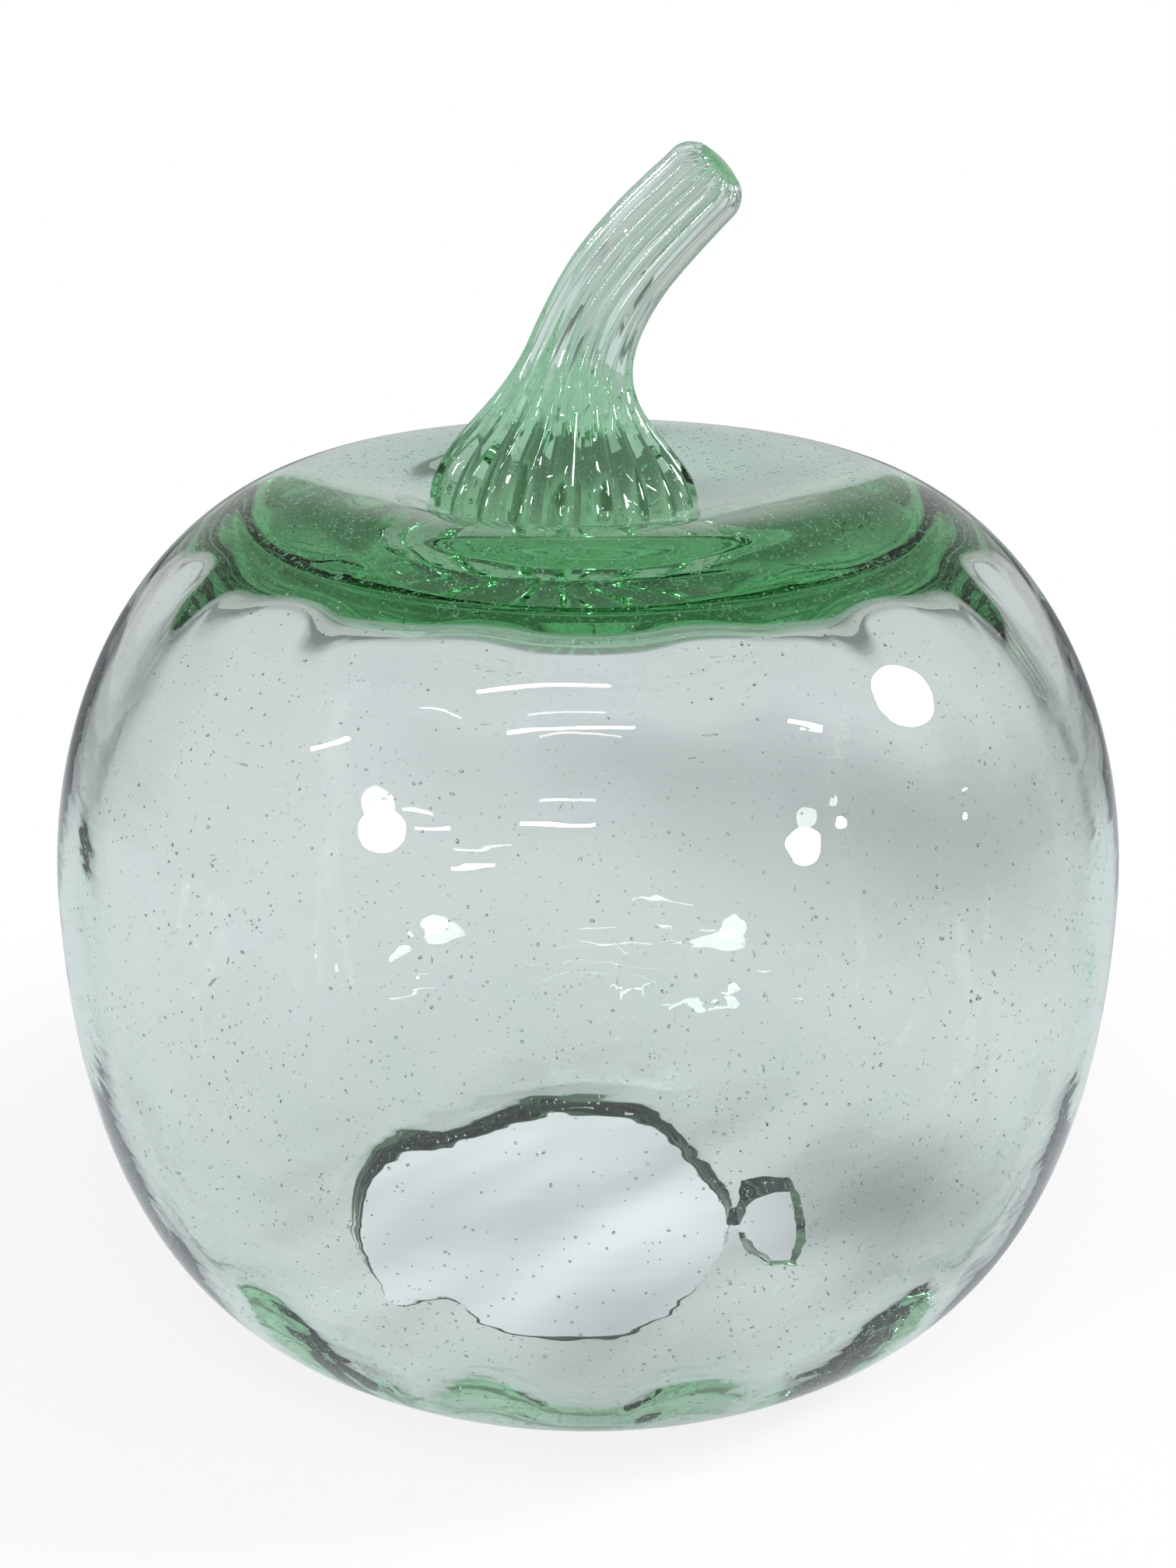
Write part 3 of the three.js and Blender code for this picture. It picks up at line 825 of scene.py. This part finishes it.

# %% [markdown]
# ## The floor
# The camera sees a white floor with the object's faint shadow. Seen through the glass it is a pale grey table
# top with painted light and shade on it: dimmer far away and beside and behind the object, a painted shadow
# under the body, painted shadows of the object in a few broad patches, and soft streaks of painted caustic
# light and shade inside the opening. Light Path tells the two apart. A painted picture could do the same, but
# ramps over the distance from a few places do without one. Spans and places are in metres, and each painted
# shadow is a place on the table, its reach and how much it dims.

# %% Floor
TABLE_GREY = (0.68, 0.725, 0.75, 1)
FLOOR_WHITE = (0.85, 0.85, 0.85, 1)
SHADOW_SPAN, SHADOW_CLEAR = (0.1, 0.22), 0.8
# Painted shade on the table: dimmer far away.
FAR_SPAN, FAR_TONE = (0.8, 1.6), 0.7
# A painted shadow on the table under the body.
UNDER_SHADOW_SPAN, UNDER_SHADOW_TONE = (0.05, 0.13), 0.95
# Painted shade on the table beside and behind the object.
BESIDE_X, BESIDE_Y, BESIDE_DIM = (0.15, 0.3), (0.15, 0.4), 0.6
# Painted shadows of the object on the table, seen through the glass: place, reach and how much each dims.
PAINTED_SHADOWS = [
    (0.12, 0.2, 0.13, 0.38), (0.03, 0.28, 0.12, 0.25), (0.068, 0.0, 0.05, 0.5), (0.0, -0.09, 0.06, 0.2),
]
# Soft streaks of painted caustic light and shade on the table inside the opening.
CAUSTIC_TURN = math.radians(45)
CAUSTIC_SIZE = (0.09, 0.024, 1)
CAUSTIC_SPAN, CAUSTIC_STRENGTH = (0.045, 0.085), (1.2, 0.05)
CAUSTIC_MIDDLE = 0.48
FLOOR_HALF = 3.0
FLOOR_HEIGHT = -0.3 * MM


def table_tone(tree, place, away):
    """The table top's painted light and shade: far off, under the body, beside it, shadows, caustic streaks.
    """
    # Painted shade: dimmer far away.
    tone = ramp(tree, away, *FAR_SPAN, 1.0, FAR_TONE)
    # A painted shadow under the body.
    tone = calc(tree, "MULTIPLY", tone, ramp(tree, away, *UNDER_SHADOW_SPAN, UNDER_SHADOW_TONE, 1.0))
    # Painted shade beside and behind the object.
    spot = node(tree, "ShaderNodeSeparateXYZ", {0: place}).outputs
    beside = ramp(tree, calc(tree, "ABSOLUTE", spot["X"]), *BESIDE_X, 0.0, 1.0)
    past = ramp(tree, spot["Y"], *BESIDE_Y, 0.0, BESIDE_DIM)
    beside = calc(tree, "MULTIPLY", beside, past)
    tone = calc(tree, "MULTIPLY", tone, calc(tree, "SUBTRACT", 1.0, beside))
    # Painted shadows of the object in a few broad patches.
    for x, y, reach, dim in PAINTED_SHADOWS:
        gap = node(tree, "ShaderNodeVectorMath", {0: place, 1: (x, y, 0)}, operation="DISTANCE")
        shade = ramp(tree, gap.outputs["Value"], 0.0, reach, 1 - dim, 1.0)
        tone = calc(tree, "MULTIPLY", tone, shade)
    # Soft streaks of painted caustic light and shade inside the opening.
    drawn = node(tree, "ShaderNodeMapping", {
        "Vector": place, "Rotation": (0, 0, CAUSTIC_TURN), "Scale": CAUSTIC_SIZE,
    }, vector_type="TEXTURE").outputs[0]
    caustic_streaks = node(tree, "ShaderNodeTexNoise", {"Vector": drawn, "Scale": 1.0, "Detail": 1.0}).outputs[0]
    near = ramp(tree, away, *CAUSTIC_SPAN, *CAUSTIC_STRENGTH)
    caustic_streaks = calc(tree, "MULTIPLY", calc(tree, "SUBTRACT", caustic_streaks, CAUSTIC_MIDDLE), near)
    return calc(tree, "MULTIPLY", tone, calc(tree, "ADD", 1.0, caustic_streaks))


def floor_material():
    material = bpy.data.materials.new("pale_floor")
    material.use_nodes = True
    tree = material.node_tree
    tree.nodes.clear()
    place = node(tree, "ShaderNodeTexCoord").outputs["Object"]
    away = node(tree, "ShaderNodeVectorMath", {0: place}, operation="LENGTH").outputs["Value"]
    clear = ramp(tree, away, *SHADOW_SPAN, SHADOW_CLEAR, 1.0)
    path = node(tree, "ShaderNodeLightPath").outputs
    through = calc(tree, "MAXIMUM", path["Is Glossy Ray"], path["Is Transmission Ray"])
    shade = node(tree, "ShaderNodeBsdfDiffuse", {"Color": FLOOR_WHITE})
    paper = node(tree, "ShaderNodeEmission", {"Color": (1, 1, 1, 1), "Strength": 1.0})
    tone = table_tone(tree, place, away)
    table = node(tree, "ShaderNodeEmission", {"Color": TABLE_GREY, "Strength": tone})
    seen = node(tree, "ShaderNodeMixShader", {0: clear, 1: shade.outputs[0], 2: paper.outputs[0]})
    other = node(tree, "ShaderNodeMixShader", {0: through, 1: shade.outputs[0], 2: table.outputs[0]})
    camera_ray = path["Is Camera Ray"]
    mixed = node(tree, "ShaderNodeMixShader", {0: camera_ray, 1: other.outputs[0], 2: seen.outputs[0]})
    output = node(tree, "ShaderNodeOutputMaterial")
    tree.links.new(mixed.outputs[0], output.inputs["Surface"])
    return material


def pale_floor():
    mesh = bpy.data.meshes.new("pale_floor")
    corners = [(-1, -1), (1, -1), (1, 1), (-1, 1)]
    points = [(x * FLOOR_HALF, y * FLOOR_HALF, FLOOR_HEIGHT) for x, y in corners]
    mesh.from_pydata(points, [], [(0, 1, 2, 3)])
    mesh.materials.append(floor_material())
    floor = bpy.data.objects.new("pale_floor", mesh)
    bpy.context.scene.collection.objects.link(floor)


pale_floor()
print("floor grey", TABLE_GREY[:3], "through the glass")

# %% [markdown]
# ## The lamps
# Three round lamps give the large highlights and three tubes the level lines below the crown. Six small ones
# add glints, where the real glass breaks up the lights of a room. Each lamp's place is a direction from the
# belly's middle, and its power follows from its size and how bright its face looks.

# %% Lamps
AIM = Vector((0, 0, BELLY_HEIGHT))


def facing_turn(place):
    """The turn that faces a lamp at place to the object, with its length level along X."""
    back = (place - AIM).normalized()
    along = (Vector((1, 0, 0)) - back * back.x).normalized()
    return Matrix((along, back.cross(along), back)).transposed().to_euler()


def lamp(name, way, distance, size, glow, length=0.0, seen_through=True):
    """A disk, or a strip when it has a length, with a surface brightness of glow."""
    data = bpy.data.lights.new(name, "AREA")
    data.shape = "RECTANGLE" if length else "DISK"
    data.size = length or size
    data.size_y = size
    area = length * size if length else math.pi * size ** 2 / 4
    data.energy = glow * math.pi * area
    place = AIM + Vector(way).normalized() * distance
    made = bpy.data.objects.new(name, data)
    made.location = place
    made.rotation_euler = facing_turn(place)
    made.visible_transmission = seen_through
    bpy.context.scene.collection.objects.link(made)


lamp("side_lamp", (0.82, -0.05, 0.58), 1.0, 0.24, 40, seen_through=False)
lamp("left_lamp", (-0.63, -0.67, 0.39), 1.2, 0.2, 40)
lamp("right_lamp", (0.66, -0.67, 0.34), 1.2, 0.15, 40)
lamp("near_tube", (-0.13, -0.38, 0.9), 2.0, 0.035, 60, 0.8)
lamp("middle_tube", (-0.05, -0.57, 0.8), 2.0, 0.03, 60, 0.8)
lamp("far_tube", (-0.1, -0.85, 0.51), 2.0, 0.03, 60, 0.5)
lamp("left_spark", (-0.74, -0.35, 0.57), 1.2, 0.02, 50, 0.16)
lamp("right_spark", (0.63, -0.38, 0.68), 1.2, 0.025, 50, 0.14)
lamp("low_spark", (-0.49, -0.75, 0.43), 1.4, 0.018, 50, 0.16)
lamp("lower_spark", (-0.37, -0.86, 0.34), 1.4, 0.018, 50, 0.2)
lamp("soft_spark", (0.75, -0.55, 0.36), 1.2, 0.05, 25)
lamp("far_spark", (0.97, -0.13, 0.18), 1.2, 0.03, 40)
print("lamps", len(bpy.data.lights))

# %% [markdown]
# Light crosses many faces on its way through thick glass, and a path that is cut short turns black. So the
# renderer is allowed many bounces, and the tones are shown as they are.

# %% View and bounces
MOST_BOUNCES = 32
GLOSSY_BOUNCES = 16
scene = bpy.context.scene
scene.view_settings.view_transform = "Standard"
scene.cycles.max_bounces = MOST_BOUNCES
scene.cycles.transmission_bounces = MOST_BOUNCES
scene.cycles.glossy_bounces = GLOSSY_BOUNCES
print("bounces", MOST_BOUNCES, "of them glossy", GLOSSY_BOUNCES)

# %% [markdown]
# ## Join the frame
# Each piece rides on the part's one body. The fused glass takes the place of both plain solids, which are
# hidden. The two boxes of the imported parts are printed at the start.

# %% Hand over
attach(seeds, "root")
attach(glass, "root")
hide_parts("blown_body", "applied_stem")
print("handed over", glass.name, "and", seeds.name)
